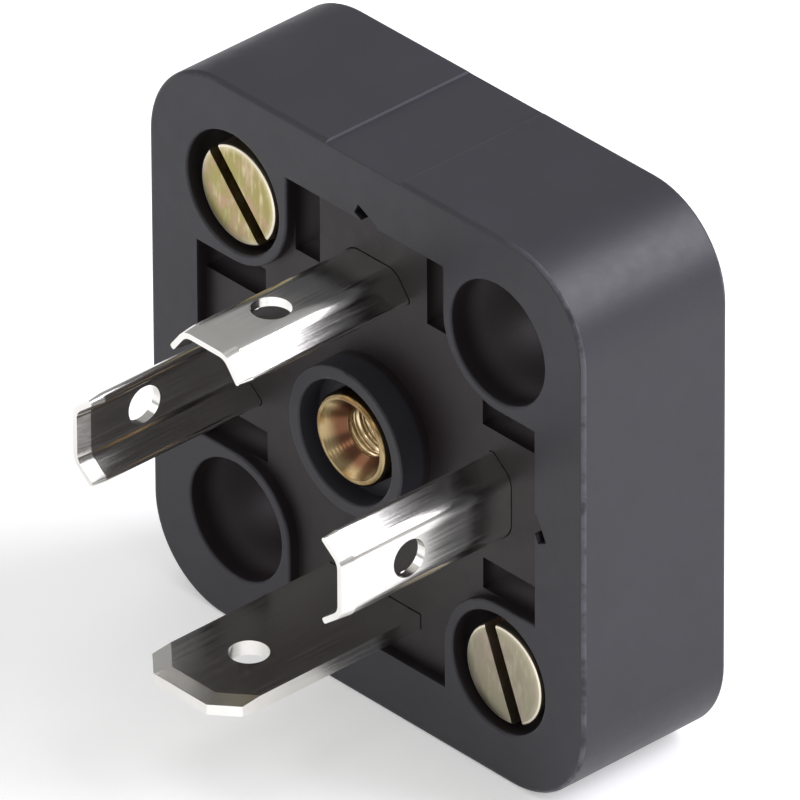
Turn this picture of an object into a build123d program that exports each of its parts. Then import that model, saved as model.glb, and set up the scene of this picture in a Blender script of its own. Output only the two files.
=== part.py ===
import os
from math import cos, radians, sin, tan

from build123d import *

os.makedirs("parts", exist_ok=True)

# Square-flange appliance plug: three folded pole contacts and a longer flat earth tab in a moulded
# housing, a threaded brass insert in the middle for the screw that holds the mating socket, and two
# slotted screws that fix the flange. All sizes are in millimetres.
# Origin: centre of the rear mounting face. +X right, +Y out of the back, +Z up. The contacts point
# along -Y, and the earth tab is the lowest of the four.

# Housing
flange_width = 30.0
flange_depth = 9.25
flange_corner_radius = 4.9
edge_radius = 0.25
rim_width = 3.3
recess_depth = 0.6
key_width = 5.2
key_depth = 0.14
rear_wall = 1.5

# Holes for the flange screws
screw_inset = 5.85
screw_hole_diameter = 3.6
counterbore_diameter = 6.4
counterbore_depth = 6.5
screw_boss_wall = 0.55
mouth_radius = 0.12

# Pockets beside each pole contact
pocket_width = 1.7
pocket_length = 4.2
pocket_depth = 4.5

# Short slanted slots across the inner edge of the rim, beside the top and right contacts
mark_length = 1.5
mark_width = 0.6
mark_depth = 0.5
mark_offset = 0.15
mark_outset = 0.18
mark_slant = 26.0

# Centre boss and its threaded insert
boss_diameter = 7.85
boss_height = 1.3
boss_wall = 0.72
boss_groove_depth = 1.3
insert_diameter = 4.8
insert_length = 8.0
insert_setback = 0.3
insert_clearance = 0.02
insert_lip = 0.3
insert_dish_depth = 1.1
insert_chamfer = 0.15
thread_bore_diameter = 2.5

# Pole contacts, folded from tinned strip
pole_radius = 9.45
pole_width = 5.12
pole_depth = 1.64
pole_splay = 38.0
pole_bend_radius = 0.6
pole_reach = 10.1
pole_hole_setback = 4.2
strip_thickness = 0.5
strip_edge_radius = 0.22

# Earth tab
earth_radius = 8.97
earth_width = 6.3
earth_thickness = 0.8
earth_reach = 11.9
earth_corner_width = 1.3
earth_corner_length = 1.1
earth_bevel_length = 0.9
earth_bevel_depth = 0.12
earth_hole_setback = 4.4

# Shared by all four contacts
contact_hole_diameter = 2.0
contact_clearance = 0.04
lead_length = 0.8
lead_taper = 7.0
tail_width = 2.8
tail_length = 3.6
tail_eye_diameter = 1.3
tail_eye_setback = 1.6
tail_corner_radius = 0.7

# Slotted cheese-head screws
screw_diameter = 3.0
screw_length = 8.0
screw_head_diameter = 5.2
screw_head_height = 2.0
screw_head_chamfer = 0.15
screw_slot_width = 0.8
screw_slot_depth = 1.1
screw_tip_chamfer = 0.4
screw_head_setback = 0.35
screw_drop = 0.27

# Sizes that follow from the ones above
recess_width = flange_width - 2 * rim_width
screw_pitch = flange_width - 2 * screw_inset
screw_boss_radius = counterbore_diameter / 2 + screw_boss_wall
arm_width = screw_pitch - 2 * screw_boss_radius
boss_front = flange_depth + boss_height
insert_front = boss_front - insert_setback
flange_drop = pole_depth - strip_thickness * sin(radians(pole_splay))
web_half_width = pole_width / 2 - flange_drop * tan(radians(pole_splay))

# Each pole contact's name and its turn about the plug's axis, counted from the top
pole_turns = {"contact_top": 0, "contact_left": 90, "contact_right": -90}

# Each flange screw's name, its corner and the angle at which its slot stopped
screws = {
    "fixing_screw_upper": (-screw_pitch / 2, screw_pitch / 2, -48),
    "fixing_screw_lower": (screw_pitch / 2, -screw_pitch / 2, -68),
}


def face_plane(height, turn=0):
    """Plane facing the socket, this far in front of the rear face, turned about the plug's axis."""
    across = (cos(radians(turn)), 0, sin(radians(turn)))
    return Plane((0, -height, 0), x_dir=across, z_dir=(0, -1, 0))


def web_plane(radius, height, turn):
    """Plane on a contact's outer face, centred this far in front of the rear face."""
    outward = Vector(-sin(radians(turn)), 0, cos(radians(turn)))
    return Plane(outward * radius - Vector(0, height, 0), x_dir=(0, -1, 0), z_dir=outward)


def channel_section(growth=0.0):
    """Section of a pole contact, with its web outwards along +Y, grown all round by a clearance."""
    foot = (pole_width / 2, pole_radius - flange_drop)
    shoulder = (web_half_width, pole_radius)
    with BuildSketch(mode=Mode.PRIVATE) as section:
        with BuildLine():
            FilletPolyline(
                (-foot[0], foot[1]),
                (-shoulder[0], shoulder[1]),
                shoulder,
                foot,
                radius=pole_bend_radius + strip_thickness,
            )
            offset(amount=strip_thickness, side=Side.RIGHT)
        make_face()
        for side in (Axis.X, -Axis.X):
            flange_end = section.vertices().sort_by(side)[-1]
            fillet(flange_end, strip_edge_radius)
        fillet(section.vertices().group_by(Axis.Y)[0], strip_edge_radius)
        if growth:
            offset(amount=growth, kind=Kind.INTERSECTION)
    return section.sketch


def save(part, name):
    """Label a finished piece and write it to its own file."""
    part.label = name
    export_step(part, f"parts/{name}.step")


with BuildPart() as housing:
    with BuildSketch(face_plane(0)):
        RectangleRounded(flange_width, flange_width, flange_corner_radius)
    extrude(amount=flange_depth)
    fillet(housing.faces().filter_by(Axis.Y).edges(), edge_radius)

    # Shallow cross-shaped seat for the gasket, rounded where it passes the four screw bosses
    with BuildSketch(face_plane(flange_depth)) as seat:
        Rectangle(recess_width, arm_width)
        Rectangle(arm_width, recess_width)
        fillet(seat.vertices().sort_by_distance((0, 0, 0))[:4], screw_boss_radius)
    extrude(amount=-recess_depth, mode=Mode.SUBTRACT)

    # Counterbored holes for the flange screws
    with Locations(face_plane(flange_depth)):
        with GridLocations(screw_pitch, screw_pitch, 2, 2):
            CounterBoreHole(screw_hole_diameter / 2, counterbore_diameter / 2, counterbore_depth)
    mouths = housing.edges().filter_by(GeomType.CIRCLE).group_by(Axis.Y)[0]
    fillet(mouths, mouth_radius)

    # Wide shallow groove along the top, which shows the way up
    with BuildSketch(Plane.XY.offset(flange_width / 2)):
        with Locations((0, -flange_depth / 2)):
            Rectangle(key_width, flange_depth)
    extrude(amount=-key_depth, mode=Mode.SUBTRACT)

    # Centre boss, with a groove round the insert
    with BuildSketch(face_plane(boss_front)):
        Circle(boss_diameter / 2)
    extrude(amount=-(boss_height + recess_depth))
    with BuildSketch(face_plane(boss_front)):
        Circle(boss_diameter / 2 - boss_wall)
    extrude(amount=-boss_groove_depth, mode=Mode.SUBTRACT)
    fillet(
        housing.edges().filter_by(GeomType.CIRCLE).group_by(Axis.Y)[0],
        mouth_radius,
    )
    with BuildSketch(face_plane(insert_front)):
        Circle(insert_diameter / 2 + insert_clearance)
    extrude(amount=-insert_length, mode=Mode.SUBTRACT)

    for turn in pole_turns.values():
        # Pockets on both sides of the contact
        with BuildSketch(face_plane(flange_depth, turn)):
            with Locations((0, (recess_width - pocket_length) / 2)):
                with GridLocations(arm_width - pocket_width, 0, 2, 1):
                    Rectangle(pocket_width, pocket_length)
        extrude(amount=-(recess_depth + pocket_depth), mode=Mode.SUBTRACT)

        # Slot for the folded contact, and a narrower one for its tail through the rear wall
        with BuildSketch(face_plane(rear_wall, turn)):
            add(channel_section(contact_clearance))
        extrude(amount=flange_depth - rear_wall, mode=Mode.SUBTRACT)
        with BuildSketch(face_plane(0, turn)):
            with Locations((0, pole_radius - strip_thickness / 2)):
                Rectangle(tail_width + 2 * contact_clearance, strip_thickness + 2 * contact_clearance)
        extrude(amount=rear_wall, mode=Mode.SUBTRACT)

    # Slanted slots across the rim's inner edge, mirror images of each other
    for name, side in (("contact_top", 1), ("contact_right", -1)):
        with BuildSketch(face_plane(flange_depth, pole_turns[name])):
            centre = (side * mark_offset, recess_width / 2 + mark_outset)
            with Locations(Location(centre, -side * mark_slant)):
                Rectangle(mark_length, mark_width)
        extrude(amount=-(recess_depth + mark_depth), mode=Mode.SUBTRACT)

    # Slots for the earth tab and its tail
    with BuildSketch(face_plane(rear_wall)):
        with Locations((0, -earth_radius - earth_thickness / 2)):
            Rectangle(earth_width + 2 * contact_clearance, earth_thickness + 2 * contact_clearance)
    extrude(amount=flange_depth - rear_wall, mode=Mode.SUBTRACT)
    with BuildSketch(face_plane(0)):
        with Locations((0, -earth_radius - earth_thickness / 2)):
            Rectangle(tail_width + 2 * contact_clearance, earth_thickness + 2 * contact_clearance)
    extrude(amount=rear_wall, mode=Mode.SUBTRACT)
save(housing.part, "housing")

for name, turn in pole_turns.items():
    with BuildPart() as pole:
        # Folded channel, standing on the rear wall and drawn in at its tip
        with BuildSketch(face_plane(rear_wall, turn)):
            add(channel_section())
        extrude(amount=flange_depth + pole_reach - rear_wall - lead_length)
        extrude(pole.faces().sort_by(Axis.Y)[0], amount=lead_length, taper=lead_taper)

        # Flat soldering tail behind the flange
        with BuildSketch(web_plane(pole_radius, -tail_length, turn)):
            with Locations(((rear_wall + tail_length) / 2, 0)):
                Rectangle(rear_wall + tail_length, tail_width)
        extrude(amount=-strip_thickness)
        outward = Axis((0, 0, 0), web_plane(0, 0, turn).z_dir)
        fillet(pole.edges().filter_by(outward).group_by(Axis.Y)[-1], tail_corner_radius)

        # Latching hole near the tip and wire eye in the tail
        with BuildSketch(web_plane(pole_radius, flange_depth + pole_reach - pole_hole_setback, turn)):
            Circle(contact_hole_diameter / 2)
        extrude(amount=-strip_thickness, mode=Mode.SUBTRACT)
        with BuildSketch(web_plane(pole_radius, tail_eye_setback - tail_length, turn)):
            Circle(tail_eye_diameter / 2)
        extrude(amount=-strip_thickness, mode=Mode.SUBTRACT)
    save(pole.part, name)

with BuildPart() as earth_contact:
    # Flat blank with cut corners in front, shoulders on the rear wall and a narrow tail
    tip = flange_depth + earth_reach
    with BuildSketch(Plane.XY.offset(-earth_radius)):
        with BuildLine():
            half_outline = Polyline(
                (0, -tip),
                (earth_width / 2 - earth_corner_width, -tip),
                (earth_width / 2, earth_corner_length - tip),
                (earth_width / 2, -rear_wall),
                (tail_width / 2, -rear_wall),
                (tail_width / 2, tail_length),
                (0, tail_length),
            )
            mirror(half_outline, about=Plane.YZ)
        make_face()
    extrude(amount=-earth_thickness)
    fillet(earth_contact.edges().filter_by(Axis.Z).group_by(Axis.Y)[-1], tail_corner_radius)

    # Coined lead-in on both faces, along the tip and the cut corners
    for broad_face in (
        earth_contact.faces().sort_by(Axis.Z)[-1],
        earth_contact.faces().sort_by(Axis.Z)[0],
    ):
        tip_edges = broad_face.edges().sort_by(Axis.Y)[:3]
        chamfer(tip_edges, earth_bevel_length, earth_bevel_depth, reference=broad_face)

    for height, diameter in (
        (tip - earth_hole_setback, contact_hole_diameter),
        (tail_eye_setback - tail_length, tail_eye_diameter),
    ):
        with BuildSketch(Plane.XY.offset(-earth_radius)):
            with Locations((0, -height)):
                Circle(diameter / 2)
        extrude(amount=-earth_thickness, mode=Mode.SUBTRACT)
save(earth_contact.part, "earth_contact")

with BuildPart() as centre_insert:
    # Turned brass bush with a dished face and a bore for the thread
    insert_radius = insert_diameter / 2
    bore_radius = thread_bore_diameter / 2
    with BuildSketch(Plane.XY):
        with BuildLine():
            Polyline(
                (bore_radius, insert_length - insert_front),
                (insert_radius - insert_chamfer, insert_length - insert_front),
                (insert_radius, insert_length - insert_front - insert_chamfer),
                (insert_radius, insert_chamfer - insert_front),
                (insert_radius - insert_chamfer, -insert_front),
                (insert_radius - insert_lip, -insert_front),
                (bore_radius, insert_dish_depth - insert_front),
                close=True,
            )
        make_face()
    revolve(axis=Axis.Y)
save(centre_insert.part, "centre_insert")

for name, (across, up, slot_turn) in screws.items():
    head_front = flange_depth - screw_head_setback
    head_rear = head_front - screw_head_height
    with BuildPart() as screw:
        # Cheese head just inside the rim, resting a little low in its hole
        with BuildSketch(face_plane(head_rear)):
            with Locations((across, up - screw_drop)):
                Circle(screw_head_diameter / 2)
        extrude(amount=screw_head_height)
        chamfer(screw.edges().group_by(Axis.Y)[0], screw_head_chamfer)
        with BuildSketch(face_plane(head_front)):
            with Locations(Location((across, up - screw_drop), slot_turn)):
                Rectangle(screw_head_diameter + screw_slot_width, screw_slot_width)
        extrude(amount=-screw_slot_depth, mode=Mode.SUBTRACT)

        # Shank through the flange
        with BuildSketch(face_plane(head_rear)):
            with Locations((across, up - screw_drop)):
                Circle(screw_diameter / 2)
        extrude(amount=-screw_length)
        chamfer(screw.edges().group_by(Axis.Y)[-1], screw_tip_chamfer)
    save(screw.part, name)
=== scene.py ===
from math import cos, radians, sin

import bpy
import numpy as np
from mathutils import Matrix, Vector


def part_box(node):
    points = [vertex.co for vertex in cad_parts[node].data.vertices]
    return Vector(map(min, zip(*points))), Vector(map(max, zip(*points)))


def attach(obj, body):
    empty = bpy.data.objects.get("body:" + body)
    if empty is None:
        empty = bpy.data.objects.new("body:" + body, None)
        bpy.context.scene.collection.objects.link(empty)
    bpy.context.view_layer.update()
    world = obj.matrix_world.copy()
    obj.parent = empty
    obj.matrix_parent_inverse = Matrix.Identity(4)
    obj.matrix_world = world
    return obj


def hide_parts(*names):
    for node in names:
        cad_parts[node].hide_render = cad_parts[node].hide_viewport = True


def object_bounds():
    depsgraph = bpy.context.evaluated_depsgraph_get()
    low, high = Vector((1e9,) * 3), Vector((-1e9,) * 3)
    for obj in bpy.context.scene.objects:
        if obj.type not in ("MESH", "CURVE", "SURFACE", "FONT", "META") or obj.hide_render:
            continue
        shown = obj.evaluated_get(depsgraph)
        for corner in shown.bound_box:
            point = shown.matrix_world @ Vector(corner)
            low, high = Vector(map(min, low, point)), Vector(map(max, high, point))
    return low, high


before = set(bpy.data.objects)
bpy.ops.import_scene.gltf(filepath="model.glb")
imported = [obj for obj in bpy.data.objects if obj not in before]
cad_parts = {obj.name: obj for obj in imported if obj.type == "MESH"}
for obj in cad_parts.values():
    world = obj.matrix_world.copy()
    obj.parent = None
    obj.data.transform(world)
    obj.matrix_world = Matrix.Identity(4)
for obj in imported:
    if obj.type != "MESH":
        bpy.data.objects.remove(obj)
cad_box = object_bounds()
mm = 0.001


# Housing: the square flange with its rim, seat, pockets and centre boss, one moulding of black
# glass-filled polyamide. The mould was spark-eroded, so every face has the same fine satin grain,
# and the glass fibres leave faint cloudy patches where the melt flowed round the holes.
def linear(colour):
    """sRGB hex to linear RGBA: a power curve of 2.4 above a short straight foot, per channel."""
    s = np.array([int(colour[i : i + 2], 16) for i in (1, 3, 5)]) / 255
    return (*np.where(s <= 0.04045, s / 12.92, ((s + 0.055) / 1.055) ** 2.4), 1.0)


def add_node(material, kind, inputs=None, **settings):
    """Adds one node, with its settings, its input values and its links from other sockets."""
    made = material.node_tree.nodes.new(kind)
    for key, value in settings.items():
        setattr(made, key, value)
    for socket, value in (inputs or {}).items():
        if isinstance(value, bpy.types.NodeSocket):
            material.node_tree.links.new(value, made.inputs[socket])
        else:
            made.inputs[socket].default_value = value
    return made


def empty_material(name):
    """A material with nodes on and none in it yet."""
    material = bpy.data.materials.new(name)
    material.use_nodes = True
    material.node_tree.nodes.clear()
    return material


def dress(piece, material):
    """Gives a piece this one material."""
    piece.data.materials.clear()
    piece.data.materials.append(material)


polyamide = empty_material("glass_filled_polyamide_eroded")
place = add_node(polyamide, "ShaderNodeTexCoord").outputs["Object"]
cloud_size = 3.5 * mm
clouds = add_node(
    polyamide,
    "ShaderNodeTexNoise",
    {"Vector": place, "Scale": 1 / cloud_size, "Detail": 3.0, "Roughness": 0.6},
)
cloud_colour = add_node(
    polyamide,
    "ShaderNodeMix",
    {"Factor": clouds.outputs["Fac"], "A": linear("#2F2E33"), "B": linear("#37363C")},
    data_type="RGBA",
)
# Finger marks and scuffs break the gloss into patches about a millimetre across
scuff_size = 0.9 * mm
scuffs = add_node(
    polyamide,
    "ShaderNodeTexNoise",
    {"Vector": place, "Scale": 1 / scuff_size, "Detail": 3.0, "Roughness": 0.6},
)
scuffed_gloss = add_node(
    polyamide,
    "ShaderNodeMapRange",
    {
        "Value": scuffs.outputs["Fac"],
        "From Min": 0.3,
        "From Max": 0.7,
        "To Min": 0.42,
        "To Max": 0.49,
    },
)

# Distances from the plug's axis, to the side and up or down, and the larger and smaller of them
spot = add_node(polyamide, "ShaderNodeSeparateXYZ", {"Vector": place})
beside_axis = add_node(polyamide, "ShaderNodeMath", {0: spot.outputs["X"]}, operation="ABSOLUTE")
above_axis = add_node(polyamide, "ShaderNodeMath", {0: spot.outputs["Z"]}, operation="ABSOLUTE")
both_ways = {0: beside_axis.outputs[0], 1: above_axis.outputs[0]}
further_way = add_node(polyamide, "ShaderNodeMath", both_ways, operation="MAXIMUM")
nearer_way = add_node(polyamide, "ShaderNodeMath", both_ways, operation="MINIMUM")

# The seat behind the rim is painted browner and darker than the outside: painted shade for the
# shadow and dark reflections that the contacts cast into it. This painted shade holds for all that
# lies inside the rim, but not for the rear face, which has the colour of the outside.
rim_front = -9.25 * mm
inner_reach = 12.6 * mm
rear_skin = -2.0 * mm
seat_colour_from = rim_front + 0.02 * mm
seat_colour_full = rim_front + 0.25 * mm
inside_rim = add_node(
    polyamide,
    "ShaderNodeMath",
    {0: further_way.outputs[0], 1: inner_reach},
    operation="LESS_THAN",
)
off_rear = add_node(
    polyamide, "ShaderNodeMath", {0: spot.outputs["Y"], 1: rear_skin}, operation="LESS_THAN"
)
inner = add_node(
    polyamide,
    "ShaderNodeMath",
    {0: inside_rim.outputs[0], 1: off_rear.outputs[0]},
    operation="MULTIPLY",
)
behind_rim = add_node(
    polyamide,
    "ShaderNodeMapRange",
    {"Value": spot.outputs["Y"], "From Min": seat_colour_from, "From Max": seat_colour_full},
    interpolation_type="SMOOTHSTEP",
)
on_seat = add_node(
    polyamide,
    "ShaderNodeMath",
    {0: inner.outputs[0], 1: behind_rim.outputs["Result"]},
    operation="MULTIPLY",
)
# Painted shade: the seat's darker, browner colour
seat_shade_colour = add_node(
    polyamide,
    "ShaderNodeMix",
    {"Factor": on_seat.outputs[0], "A": cloud_colour.outputs["Result"], "B": linear("#241E20")},
    data_type="RGBA",
)

# The deep holes and, still more, the narrow pockets are painted paler again: painted light that
# lifts the shade inside them. The pockets all lie nearer to the axis one way than the holes do.
seat_floor = -8.65 * mm
pocket_reach = 5.7 * mm
hole_light_from = seat_floor + 0.1 * mm
hole_light_full = seat_floor + 1.6 * mm
in_pocket = add_node(
    polyamide,
    "ShaderNodeMath",
    {0: nearer_way.outputs[0], 1: pocket_reach},
    operation="LESS_THAN",
)
# Painted light: a paler colour for the holes and a paler one still for the pockets
hole_light_colour = add_node(
    polyamide,
    "ShaderNodeMix",
    {"Factor": in_pocket.outputs[0], "A": linear("#5E595A"), "B": linear("#847E7F")},
    data_type="RGBA",
)
behind_seat = add_node(
    polyamide,
    "ShaderNodeMapRange",
    {"Value": spot.outputs["Y"], "From Min": hole_light_from, "From Max": hole_light_full},
    interpolation_type="SMOOTHSTEP",
)
hole_lit = add_node(
    polyamide,
    "ShaderNodeMath",
    {0: inner.outputs[0], 1: behind_seat.outputs["Result"]},
    operation="MULTIPLY",
)
seat_and_hole_colour = add_node(
    polyamide,
    "ShaderNodeMix",
    {
        "Factor": hole_lit.outputs[0],
        "A": seat_shade_colour.outputs["Result"],
        "B": hole_light_colour.outputs["Result"],
    },
    data_type="RGBA",
)

# Two things are painted paler as painted highlights: the steps beside the shallow groove in the
# top, and, in patches, the eased front edge towards the right side
groove_half_width = 2.6 * mm
step_width = 0.01 * mm
top_skin = 14.8 * mm
eased_middle = rim_front + 0.12 * mm
eased_reach = 0.1 * mm
highlight_from = 8.0 * mm
highlight_full = 14.5 * mm
on_step = add_node(
    polyamide,
    "ShaderNodeMath",
    {0: beside_axis.outputs[0], 1: groove_half_width, 2: step_width},
    operation="COMPARE",
)
near_top = add_node(
    polyamide, "ShaderNodeMath", {0: spot.outputs["Z"], 1: top_skin}, operation="GREATER_THAN"
)
step_highlight = add_node(
    polyamide,
    "ShaderNodeMath",
    {0: on_step.outputs[0], 1: near_top.outputs[0]},
    operation="MULTIPLY",
)
on_edge = add_node(
    polyamide,
    "ShaderNodeMath",
    {0: spot.outputs["Y"], 1: eased_middle, 2: eased_reach},
    operation="COMPARE",
)
highlit_side = add_node(
    polyamide,
    "ShaderNodeMapRange",
    {"Value": spot.outputs["X"], "From Min": highlight_from, "From Max": highlight_full},
    interpolation_type="SMOOTHSTEP",
)
patchy = add_node(
    polyamide,
    "ShaderNodeMapRange",
    {"Value": scuffs.outputs["Fac"], "From Min": 0.3, "From Max": 0.6},
    interpolation_type="SMOOTHSTEP",
)
highlight_patches = add_node(
    polyamide,
    "ShaderNodeMath",
    {0: highlit_side.outputs["Result"], 1: patchy.outputs["Result"]},
    operation="MULTIPLY",
)
edge_highlight = add_node(
    polyamide,
    "ShaderNodeMath",
    {0: on_edge.outputs[0], 1: highlight_patches.outputs[0]},
    operation="MULTIPLY",
)
painted_highlights = add_node(
    polyamide,
    "ShaderNodeMath",
    {0: step_highlight.outputs[0], 1: edge_highlight.outputs[0]},
    operation="MAXIMUM",
)
# Painted highlight: the paler colour of the groove's steps and the eased front edge
highlit_colour = add_node(
    polyamide,
    "ShaderNodeMix",
    {
        "Factor": painted_highlights.outputs[0],
        "A": seat_and_hole_colour.outputs["Result"],
        "B": linear("#5E5D64"),
    },
    data_type="RGBA",
)
# The real grain is about 0.03 mm, under one pixel here, so it is drawn at 0.2 mm
grain_size = 0.2 * mm
grain = add_node(
    polyamide,
    "ShaderNodeTexNoise",
    {"Vector": place, "Scale": 1 / grain_size, "Detail": 2.0, "Roughness": 0.5},
)
grain_relief = add_node(
    polyamide,
    "ShaderNodeBump",
    {"Height": grain.outputs["Fac"], "Strength": 0.4, "Distance": 0.012 * mm},
)
satin = add_node(
    polyamide,
    "ShaderNodeBsdfPrincipled",
    {
        "Base Color": highlit_colour.outputs["Result"],
        "Roughness": scuffed_gloss.outputs["Result"],
        "IOR": 1.5,
        "Specular IOR Level": 0.36,
        "Normal": grain_relief.outputs["Normal"],
    },
)
add_node(polyamide, "ShaderNodeOutputMaterial", {"Surface": satin.outputs["BSDF"]})
dress(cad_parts["housing"], polyamide)


# Contacts: three channels folded from thin brass strip and one flat earth tab, blanked and coined,
# then barrel-plated with bright tin. The plating mirrors its surroundings softly, with faint
# lengthwise streaks left by the rolled strip.
tin = empty_material("bright_tin_on_rolled_strip")
place = add_node(tin, "ShaderNodeTexCoord").outputs["Object"]
# Streaks are 0.12 mm wide, coarser than real rolling marks so that they show, and 5 mm long
streak_width = 0.12 * mm
streak_length = 5 * mm
along_strip = add_node(
    tin,
    "ShaderNodeMapping",
    {"Vector": place, "Scale": (1 / streak_width, 1 / streak_length, 1 / streak_width)},
)
streaks = add_node(
    tin,
    "ShaderNodeTexNoise",
    {"Vector": along_strip.outputs["Vector"], "Scale": 1.0, "Detail": 2.0},
)
bloom_size = 1.6 * mm
bloom = add_node(
    tin,
    "ShaderNodeTexNoise",
    {"Vector": place, "Scale": 1 / bloom_size, "Detail": 2.0},
)
tin_colour = add_node(
    tin,
    "ShaderNodeMix",
    {"Factor": bloom.outputs["Fac"], "A": linear("#E4E2DC"), "B": linear("#F1F0EC")},
    data_type="RGBA",
)
tin_gloss = add_node(
    tin,
    "ShaderNodeMapRange",
    {
        "Value": streaks.outputs["Fac"],
        "From Min": 0.3,
        "From Max": 0.7,
        "To Min": 0.16,
        "To Max": 0.26,
    },
)
tin_relief = add_node(
    tin,
    "ShaderNodeBump",
    {"Height": streaks.outputs["Fac"], "Strength": 0.15, "Distance": 0.004 * mm},
)
plating = add_node(
    tin,
    "ShaderNodeBsdfPrincipled",
    {
        "Base Color": tin_colour.outputs["Result"],
        "Metallic": 1.0,
        "Roughness": tin_gloss.outputs["Result"],
        "Normal": tin_relief.outputs["Normal"],
    },
)
add_node(tin, "ShaderNodeOutputMaterial", {"Surface": plating.outputs["BSDF"]})
for name in ("contact_top", "contact_left", "contact_right", "earth_contact"):
    dress(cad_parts[name], tin)


# Centre insert: a bush turned from free-cutting brass bar, with a dished mouth and an M3 thread
# tapped right through, pressed into the boss. Turning leaves fine rings on its face, and the
# thread's flanks catch the light down the bore.
def grid_mesh(name, points):
    """Mesh from a rows x columns x 3 grid of points, whose last column joins its first."""
    rows, columns = points.shape[:2]
    here = np.arange(rows * columns).reshape(rows, columns)
    after = np.roll(here, -1, axis=1)
    quads = np.stack([here[:-1], after[:-1], after[1:], here[1:]], axis=-1).reshape(-1, 4)
    mesh = bpy.data.meshes.new(name)
    mesh.from_pydata(points.reshape(-1, 3).tolist(), [], quads.tolist())
    mesh.polygons.foreach_set("use_smooth", np.ones(len(quads), dtype=bool))
    return mesh


def thread_wave(turns):
    """Height of a 60 degree thread from 0 at its root to 1 at its crest, by turns along the axis:
    a triangle wave of period one, cut flat where it would pass 0 or 1."""
    root_flat = 0.12
    flank = 0.7
    ramp = np.abs(2 * (turns % 1) - 1)
    return np.clip((ramp - root_flat) / flank, 0, 1)


def turned(radius, height, angle):
    """Points of a turned form: the radius swings round +Y, so x and z are its cosine and sine."""
    along = np.broadcast_to(height, radius.shape)
    return np.stack([radius * np.cos(angle), along, radius * np.sin(angle)], -1)


thread_pitch = 0.5 * mm
samples_per_turn = 12
low, high = (np.array(corner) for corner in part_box("centre_insert"))
insert_radius = (high[0] - low[0]) / 2
insert_sides = 96
bore_radius = 1.25 * mm
thread_depth = 0.25 * mm
thread_run_in = 0.3 * mm
lip_width = 0.3 * mm
dish_depth = 1.1 * mm
edge_break = 0.15 * mm
# Small roundings, each inwards and then back along the axis: of the outer edge, of the lip where
# it falls into the dish, and of the dish where it meets the bore
edge_in, edge_back = edge_break * 0.7, edge_break * 0.2
lip_in, lip_back = 0.04 * mm, 0.02 * mm
mouth_out, mouth_fore = 0.05 * mm, 0.03 * mm
bore_start = low[1] + dish_depth
angle = np.linspace(0, 2 * np.pi, insert_sides, endpoint=False)[None, :]
# Outside and dish, from the rear end round to the mouth of the bore
profile = np.array(
    [
        (bore_radius, high[1]),
        (insert_radius - edge_break, high[1]),
        (insert_radius, high[1] - edge_break),
        (insert_radius, low[1] + edge_break),
        (insert_radius - edge_in, low[1] + edge_back),
        (insert_radius - edge_break, low[1]),
        (insert_radius - lip_width, low[1]),
        (insert_radius - lip_width - lip_in, low[1] + lip_back),
        (bore_radius + mouth_out, bore_start - mouth_fore),
    ]
)
outside = turned(np.repeat(profile[:, :1], insert_sides, 1), profile[:, 1:], angle)
# Thread, from the mouth of the bore to the rear end; it fades out over half a turn at both ends
bore_rows = int((high[1] - bore_start) / thread_pitch * samples_per_turn)
bore_height = np.linspace(bore_start, high[1], bore_rows)[:, None]
turns = (bore_height - bore_start) / thread_pitch - angle / (2 * np.pi)
fade_in = np.clip((bore_height - bore_start) / thread_run_in, 0, 1)
fade_out = np.clip((high[1] - bore_height) / thread_run_in, 0, 1)
thread_radius = bore_radius + thread_depth * (1 - thread_wave(turns)) * fade_in * fade_out
bore = turned(thread_radius, bore_height, angle)
bush_mesh = grid_mesh("threaded_bush", np.concatenate([outside, bore], axis=0))
threaded_bush = bpy.data.objects.new("threaded_bush", bush_mesh)
bpy.context.collection.objects.link(threaded_bush)

brass = empty_material("turned_free_cutting_brass")
place = add_node(brass, "ShaderNodeTexCoord").outputs["Object"]
# A wave texture's ring is 0.314 / scale wide. The real tool feed is about 0.05 mm, too fine to
# show, so the rings are drawn at 0.11 mm.
ring_of_unit_scale = 0.314
ring_width = 0.11 * mm
rings = add_node(
    brass,
    "ShaderNodeTexWave",
    {"Vector": place, "Scale": ring_of_unit_scale / ring_width, "Distortion": 0.6, "Detail": 1.0},
    wave_type="RINGS",
    rings_direction="Y",
)
tarnish_size = 1.2 * mm
tarnish = add_node(
    brass,
    "ShaderNodeTexNoise",
    {"Vector": place, "Scale": 1 / tarnish_size, "Detail": 3.0},
)
tarnished = add_node(
    brass,
    "ShaderNodeMapRange",
    {"Value": tarnish.outputs["Fac"], "From Min": 0.4, "From Max": 0.6},
    interpolation_type="SMOOTHSTEP",
)
bare_colour = add_node(
    brass,
    "ShaderNodeMix",
    {"Factor": tarnished.outputs["Result"], "A": linear("#8E7149"), "B": linear("#A8946E")},
    data_type="RGBA",
)
# The lip keeps the bare colour; the dish behind it is painted a red brown as a painted dark
# reflection, and the thread is painted bright as a painted highlight
depth = add_node(brass, "ShaderNodeSeparateXYZ", {"Vector": place}).outputs["Y"]
lip_front = float(low[1])
thread_start = float(bore_start)
brown_from = lip_front + 0.1 * mm
brown_full = lip_front + 0.75 * mm
bright_from = thread_start - 0.05 * mm
bright_full = thread_start + 0.1 * mm
down_dish = add_node(
    brass,
    "ShaderNodeMapRange",
    {"Value": depth, "From Min": brown_from, "From Max": brown_full},
    interpolation_type="SMOOTHSTEP",
)
# Painted dark reflection down the dish
dish_reflection_colour = add_node(
    brass,
    "ShaderNodeMix",
    {
        "Factor": down_dish.outputs["Result"],
        "A": bare_colour.outputs["Result"],
        "B": linear("#6C4A36"),
    },
    data_type="RGBA",
)
down_bore = add_node(
    brass,
    "ShaderNodeMapRange",
    {"Value": depth, "From Min": bright_from, "From Max": bright_full},
    interpolation_type="SMOOTHSTEP",
)
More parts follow.
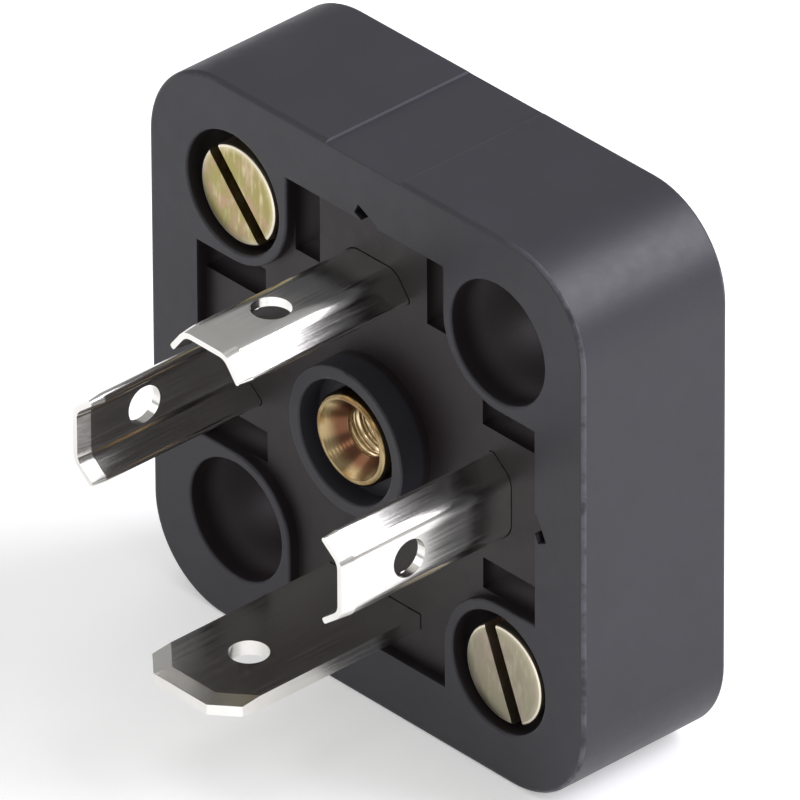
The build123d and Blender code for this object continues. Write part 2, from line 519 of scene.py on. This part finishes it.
# Painted highlight down the thread
brass_colour = add_node(
    brass,
    "ShaderNodeMix",
    {
        "Factor": down_bore.outputs["Result"],
        "A": dish_reflection_colour.outputs["Result"],
        "B": linear("#F0DCB4"),
    },
    data_type="RGBA",
)
brass_relief = add_node(
    brass,
    "ShaderNodeBump",
    {"Height": rings.outputs["Fac"], "Strength": 0.2, "Distance": 0.006 * mm},
)
bare_metal = add_node(
    brass,
    "ShaderNodeBsdfPrincipled",
    {
        "Base Color": brass_colour.outputs["Result"],
        "Metallic": 1.0,
        "Roughness": 0.23,
        "Normal": brass_relief.outputs["Normal"],
    },
)
add_node(brass, "ShaderNodeOutputMaterial", {"Surface": bare_metal.outputs["BSDF"]})
dress(threaded_bush, brass)
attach(threaded_bush, "root")
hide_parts("centre_insert")


# Fixing screws: M3 cheese-head screws, turned from brass and plated a pale straw colour, with a
# sawn slot and a rolled thread. They lie loose in two of the four corner holes, 0.27 mm low.
def slotted_screw(name, node, slot_turn):
    """A turned blank, less a straight slot across its head. The blank is a profile of radius by
    height swung round its axis, and the shank's radius falls from 1.5 mm by the thread's wave."""
    low, high = (np.array(corner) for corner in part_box(node))
    centre = (low + high) / 2
    head_radius = (high[0] - low[0]) / 2
    head_height = 2.0 * mm
    head_sides = 72
    rim_break = 0.15 * mm
    rim_swell = rim_break * 0.3
    rear_break = 0.05 * mm
    shank_radius = 1.5 * mm
    under_head = 0.1 * mm
    root_depth = 0.26 * mm
    tip_break = 0.4 * mm
    slot_width = 0.8 * mm
    slot_depth = 1.1 * mm
    neck = low[1] + head_height

    angle = np.linspace(0, 2 * np.pi, head_sides, endpoint=False)[None, :]
    head = np.array(
        [
            (0.0, low[1]),
            (head_radius / 2, low[1]),
            (head_radius - rim_break, low[1]),
            (head_radius - rim_swell, low[1] + rim_swell),
            (head_radius, low[1] + rim_break),
            (head_radius, neck - rear_break),
            (head_radius - rear_break, neck),
            (shank_radius + under_head, neck),
        ]
    )
    front = turned(np.repeat(head[:, :1], head_sides, 1), head[:, 1:], angle)
    rows = int((high[1] - neck) / thread_pitch * samples_per_turn)
    height = np.linspace(neck, high[1], rows)[:, None]
    turns = (height - neck) / thread_pitch - angle / (2 * np.pi)
    # The shank narrows to its chamfered tip, and the thread runs out there and under the head
    to_tip = np.clip((high[1] - height) / tip_break, 0, 1)
    outer = shank_radius - tip_break * (1 - to_tip)
    grown_in = np.clip((height - neck) / thread_pitch, 0, 1)
    radius = np.minimum(outer, shank_radius - root_depth * (1 - thread_wave(turns)) * grown_in)
    shank = turned(radius, height, angle)
    tip = turned(np.zeros((1, head_sides)), high[1:2, None], angle)
    points = np.concatenate([front, shank, tip], axis=0) + np.array([centre[0], 0, centre[2]])
    screw = bpy.data.objects.new(name, grid_mesh(name, points))
    bpy.context.collection.objects.link(screw)

    # The saw cut, a box longer than the head is wide, turned about the screw's axis
    past_head = 1.3
    corners = np.array([(x, y, z) for x in (-1, 1) for y in (-1, 1) for z in (-1, 1)], dtype=float)
    corners *= np.array([head_radius * past_head, slot_depth, slot_width / 2])
    turn = Matrix.Rotation(radians(slot_turn), 3, "Y")
    corners = corners @ np.array(turn).T + np.array([centre[0], low[1], centre[2]])
    faces = [(0, 1, 3, 2), (4, 6, 7, 5), (0, 4, 5, 1), (2, 3, 7, 6), (0, 2, 6, 4), (1, 5, 7, 3)]
    cut_mesh = bpy.data.meshes.new(name + "_cut")
    cut_mesh.from_pydata(corners.tolist(), [], faces)
    cut = bpy.data.objects.new(name + "_cut", cut_mesh)
    bpy.context.collection.objects.link(cut)

    same_point = 0.001 * mm
    burr_width = 0.05 * mm
    sliver_width = 0.002 * mm
    with bpy.context.temp_override(object=screw, active_object=screw, selected_objects=[screw]):
        bpy.context.view_layer.objects.active = screw
        bpy.ops.object.select_all(action="DESELECT")
        screw.select_set(True)
        bpy.ops.object.mode_set(mode="EDIT")
        bpy.ops.mesh.select_all(action="SELECT")
        bpy.ops.mesh.remove_doubles(threshold=same_point)
        bpy.ops.mesh.normals_make_consistent(inside=False)
        bpy.ops.object.mode_set(mode="OBJECT")
        sawn = screw.modifiers.new("slot", "BOOLEAN")
        sawn.operation = "DIFFERENCE"
        sawn.object = cut
        sawn.solver = "EXACT"
        bpy.ops.object.modifier_apply(modifier="slot")
        eased = screw.modifiers.new("burr", "BEVEL")
        eased.width = burr_width
        eased.segments = 2
        eased.limit_method = "ANGLE"
        eased.angle_limit = radians(60)
        bpy.ops.object.modifier_apply(modifier="burr")
        bpy.ops.object.mode_set(mode="EDIT")
        bpy.ops.mesh.select_all(action="SELECT")
        bpy.ops.mesh.dissolve_degenerate(threshold=sliver_width)
        bpy.ops.object.mode_set(mode="OBJECT")
        bpy.ops.object.shade_smooth_by_angle(angle=radians(35))
    bpy.data.objects.remove(cut)
    bpy.data.meshes.remove(cut_mesh)

    # Marks each face: 1 for the painted highlight on the eased edges of the head, which face
    # neither out to the side nor straight ahead, and 1 for "sawn" down in the slot, which gets
    # painted shade
    sideways = 0.15
    straight_ahead = 0.96
    edge_depth = 0.2 * mm
    slot_from = 0.1 * mm
    slot_to = slot_depth * 1.1
    within_head = head_radius * 0.99
    mesh = screw.data
    count = len(mesh.polygons)
    middle, facing = np.empty(count * 3), np.empty(count * 3)
    mesh.polygons.foreach_get("center", middle)
    mesh.polygons.foreach_get("normal", facing)
    middle, facing = middle.reshape(-1, 3), facing.reshape(-1, 3)
    depth = middle[:, 1] - low[1]
    out = np.hypot(middle[:, 0] - centre[0], middle[:, 2] - centre[2])
    ahead = np.abs(facing[:, 1])
    eased_edge = (ahead > sideways) & (ahead < straight_ahead) & (depth < edge_depth)
    in_slot = (depth > slot_from) & (depth < slot_to) & (out < within_head)
    for word, faces_in in (("rim_highlight", eased_edge), ("sawn", in_slot & ~eased_edge)):
        mark = mesh.attributes.new(word, "FLOAT", "FACE")
        mark.data.foreach_set("value", faces_in.astype(np.float32))
    return screw


straw = empty_material("pale_plated_brass")
place = add_node(straw, "ShaderNodeTexCoord").outputs["Object"]
# The plating is olive in places and pinkish in others, and lightly streaked from top to bottom
patch_size = 1.5 * mm
patches = add_node(
    straw,
    "ShaderNodeTexNoise",
    {"Vector": place, "Scale": 1 / patch_size, "Detail": 3.0, "Roughness": 0.6},
)
pinkish = add_node(
    straw,
    "ShaderNodeMapRange",
    {"Value": patches.outputs["Fac"], "From Min": 0.45, "From Max": 0.65},
    interpolation_type="SMOOTHSTEP",
)
patch_colour = add_node(
    straw,
    "ShaderNodeMix",
    {"Factor": pinkish.outputs["Result"], "A": linear("#9E955E"), "B": linear("#B4987C")},
    data_type="RGBA",
)
streak_width = 0.3 * mm
streak_length = 1.1 * mm
down_face = add_node(
    straw,
    "ShaderNodeMapping",
    {"Vector": place, "Scale": (1 / streak_width, 1 / streak_width, 1 / streak_length)},
)
streaks = add_node(
    straw,
    "ShaderNodeTexNoise",
    {"Vector": down_face.outputs["Vector"], "Scale": 1.0, "Detail": 2.0},
)
streaky = add_node(
    straw,
    "ShaderNodeMapRange",
    {"Value": streaks.outputs["Fac"], "From Min": 0.45, "From Max": 0.75},
    interpolation_type="SMOOTHSTEP",
)
straw_colour = add_node(
    straw,
    "ShaderNodeMix",
    {
        "Factor": streaky.outputs["Result"],
        "A": patch_colour.outputs["Result"],
        "B": linear("#C4BA92"),
    },
    data_type="RGBA",
)
# It is painted paler towards the edge of each head, a painted highlight. The two screws lie at
# opposite corners, so once their drop is taken off and x and z are made positive, one distance
# from one axis serves both.
screw_drop = 0.27 * mm
screw_axis = (9.15 * mm, 0, 9.15 * mm)
sheen_from = 2.1 * mm
sheen_full = 2.55 * mm
lifted = add_node(
    straw,
    "ShaderNodeMapping",
    {"Vector": place, "Location": (0, 0, screw_drop), "Scale": (1, 0, 1)},
)
one_corner = add_node(
    straw, "ShaderNodeVectorMath", {0: lifted.outputs["Vector"]}, operation="ABSOLUTE"
)
from_screw = add_node(
    straw,
    "ShaderNodeVectorMath",
    {0: one_corner.outputs["Vector"], 1: screw_axis},
    operation="DISTANCE",
)
edge_sheen = add_node(
    straw,
    "ShaderNodeMapRange",
    {
        "Value": from_screw.outputs["Value"],
        "From Min": sheen_from,
        "From Max": sheen_full,
        "To Max": 0.6,
    },
    interpolation_type="SMOOTHSTEP",
)
# Painted highlight towards the edge of each head
edge_lit_straw = add_node(
    straw,
    "ShaderNodeMix",
    {
        "Factor": edge_sheen.outputs["Result"],
        "A": straw_colour.outputs["Result"],
        "B": linear("#E2D9B8"),
    },
    data_type="RGBA",
)
# The lower screw is painted greyer and darker than the upper one, as painted shade
height = add_node(straw, "ShaderNodeSeparateXYZ", {"Vector": place}).outputs["Z"]
lower_one = add_node(straw, "ShaderNodeMath", {0: height, 1: 0.0}, operation="LESS_THAN")
shade_share = 0.5
lower_shade = add_node(
    straw, "ShaderNodeMath", {0: lower_one.outputs[0], 1: shade_share}, operation="MULTIPLY"
)
shaded_straw = add_node(
    straw,
    "ShaderNodeMix",
    {"Factor": lower_shade.outputs[0], "A": edge_lit_straw.outputs["Result"], "B": linear("#A5A2A0")},
    data_type="RGBA",
)
# The eased edges are painted bright as a painted highlight, and the slot is painted dark as
# painted shade
rim_highlight = add_node(straw, "ShaderNodeAttribute", attribute_name="rim_highlight").outputs["Fac"]
# Painted highlight on the eased edges
head_edge_lit_colour = add_node(
    straw,
    "ShaderNodeMix",
    {"Factor": rim_highlight, "A": shaded_straw.outputs["Result"], "B": linear("#EDE5D0")},
    data_type="RGBA",
)
sawn = add_node(straw, "ShaderNodeAttribute", attribute_name="sawn").outputs["Fac"]
# Painted shade in the slot
head_colour = add_node(
    straw,
    "ShaderNodeMix",
    {"Factor": sawn, "A": head_edge_lit_colour.outputs["Result"], "B": linear("#4A3830")},
    data_type="RGBA",
)
straw_gloss = add_node(
    straw,
    "ShaderNodeMapRange",
    {
        "Value": patches.outputs["Fac"],
        "From Min": 0.3,
        "From Max": 0.7,
        "To Min": 0.28,
        "To Max": 0.4,
    },
)
# Fine pits in the plating, drawn at 0.12 mm so that they show
pit_size = 0.12 * mm
pits = add_node(
    straw,
    "ShaderNodeTexNoise",
    {"Vector": place, "Scale": 1 / pit_size, "Detail": 1.0},
)
straw_relief = add_node(
    straw,
    "ShaderNodeBump",
    {"Height": pits.outputs["Fac"], "Strength": 0.2, "Distance": 0.006 * mm},
)
thin_plating = add_node(
    straw,
    "ShaderNodeBsdfPrincipled",
    {
        "Base Color": head_colour.outputs["Result"],
        "Metallic": 1.0,
        "Roughness": straw_gloss.outputs["Result"],
        "Normal": straw_relief.outputs["Normal"],
    },
)
add_node(straw, "ShaderNodeOutputMaterial", {"Surface": thin_plating.outputs["BSDF"]})
# The slots came to rest 48 and 68 degrees from level
for place_name, slot_turn in (("upper", 48), ("lower", 68)):
    screw = slotted_screw("slotted_screw_" + place_name, "fixing_screw_" + place_name, slot_turn)
    dress(screw, straw)
    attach(screw, "root")
    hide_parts("fixing_screw_" + place_name)


# Studio: a white paper sweep seen as pure white, with the plug standing on its lower side. The
# paper keeps the plug's soft shadow and also shows white in the plated metal.
ground = float(cad_box[0][2])
sweep_width = 1.6
sweep_mesh = bpy.data.meshes.new("paper_floor")
half = sweep_width / 2
sweep_mesh.from_pydata(
    [(-half, -half, ground), (half, -half, ground), (half, half, ground), (-half, half, ground)],
    [],
    [(0, 1, 2, 3)],
)
paper_floor = bpy.data.objects.new("paper_floor", sweep_mesh)
bpy.context.collection.objects.link(paper_floor)
paper = empty_material("white_paper")
rays = add_node(paper, "ShaderNodeLightPath")
seen = add_node(
    paper,
    "ShaderNodeMath",
    {0: rays.outputs["Is Camera Ray"], 1: rays.outputs["Is Glossy Ray"]},
    operation="MAXIMUM",
)
shown = add_node(
    paper,
    "ShaderNodeMath",
    {0: seen.outputs[0], 1: rays.outputs["Is Transmission Ray"]},
    operation="MAXIMUM",
)
paper_glow = 0.35
lift = add_node(
    paper, "ShaderNodeMath", {0: shown.outputs[0], 1: paper_glow}, operation="MULTIPLY"
)
matt = add_node(paper, "ShaderNodeBsdfDiffuse", {"Color": linear("#ECECEC")})
glow = add_node(
    paper,
    "ShaderNodeEmission",
    {"Color": (1, 1, 1, 1), "Strength": lift.outputs[0]},
)
both = add_node(paper, "ShaderNodeAddShader", {0: matt.outputs[0], 1: glow.outputs[0]})
add_node(paper, "ShaderNodeOutputMaterial", {"Surface": both.outputs[0]})
dress(paper_floor, paper)

# The room is white to the camera and dimmer to the plug, whose metal mirrors it as grey
world = bpy.data.worlds.new("white_room")
bpy.context.scene.world = world
world.use_nodes = True
world.node_tree.nodes.clear()
rays = add_node(world, "ShaderNodeLightPath")
seen = add_node(
    world,
    "ShaderNodeMath",
    {0: rays.outputs["Is Camera Ray"], 1: rays.outputs["Is Transmission Ray"]},
    operation="MAXIMUM",
)
room = add_node(world, "ShaderNodeBackground", {"Color": (1, 1, 1, 1), "Strength": 0.37})
backdrop = add_node(world, "ShaderNodeBackground", {"Color": (1, 1, 1, 1), "Strength": 1.0})
either = add_node(
    world,
    "ShaderNodeMixShader",
    {"Fac": seen.outputs[0], 1: room.outputs[0], 2: backdrop.outputs[0]},
)
add_node(world, "ShaderNodeOutputWorld", {"Surface": either.outputs[0]})


def softbox(name, place, size, watts):
    """A square area lamp at a place, turned to face the origin, where the plug is."""
    lamp = bpy.data.lights.new(name, "AREA")
    lamp.size = size
    lamp.energy = watts
    box = bpy.data.objects.new(name, lamp)
    bpy.context.collection.objects.link(box)
    box.location = place
    box.rotation_mode = "QUATERNION"
    box.rotation_quaternion = (-Vector(place)).to_track_quat("-Z", "Y")
    return box


# The largest, slightly violet, stands behind on the right and lights the top and the right side
behind = softbox("softbox_behind", (0.254, 0.278, 0.293), 0.34, 2.9)
behind.data.color = (0.95, 0.93, 1.0)
softbox("softbox_overhead", (-0.05, -0.05, 0.45), 0.30, 0.40)
softbox("softbox_front", (0.16, -0.37, 0.20), 0.09, 0.10)
softbox("softbox_left", (-0.30, -0.30, 0.20), 0.25, 0.27)


# Camera: a long lens at the photograph's angle, so that near and far edges look the same size.
# The angles were fitted to the flange as a true square.
azimuth = radians(47.383)
elevation = radians(32.288)
roll = radians(-0.3127)
back = Vector((sin(azimuth) * cos(elevation), -cos(azimuth) * cos(elevation), sin(elevation)))
level_right = Vector((cos(azimuth), sin(azimuth), 0))
level_up = back.cross(level_right)
right = cos(roll) * level_right + sin(roll) * level_up
up = cos(roll) * level_up - sin(roll) * level_right
lens = bpy.data.cameras.new("long_lens")
lens.sensor_width = 36
lens.lens = 967.9
lens.clip_start = 0.05
lens.clip_end = 20
camera = bpy.data.objects.new("camera", lens)
bpy.context.collection.objects.link(camera)
# It stands this far from the middle of the flange's front, to its own right, up and back
aside = 1.6482 * mm
above = 1.5447 * mm
distance = 1012.7 * mm
flange_front = Vector((0, rim_front, 0))
stand = flange_front + aside * right + above * up + distance * back
facing = Matrix((right, up, back)).transposed().to_4x4()
camera.matrix_world = Matrix.Translation(stand) @ facing
bpy.context.scene.camera = camera
bpy.context.scene.view_settings.view_transform = "Standard"
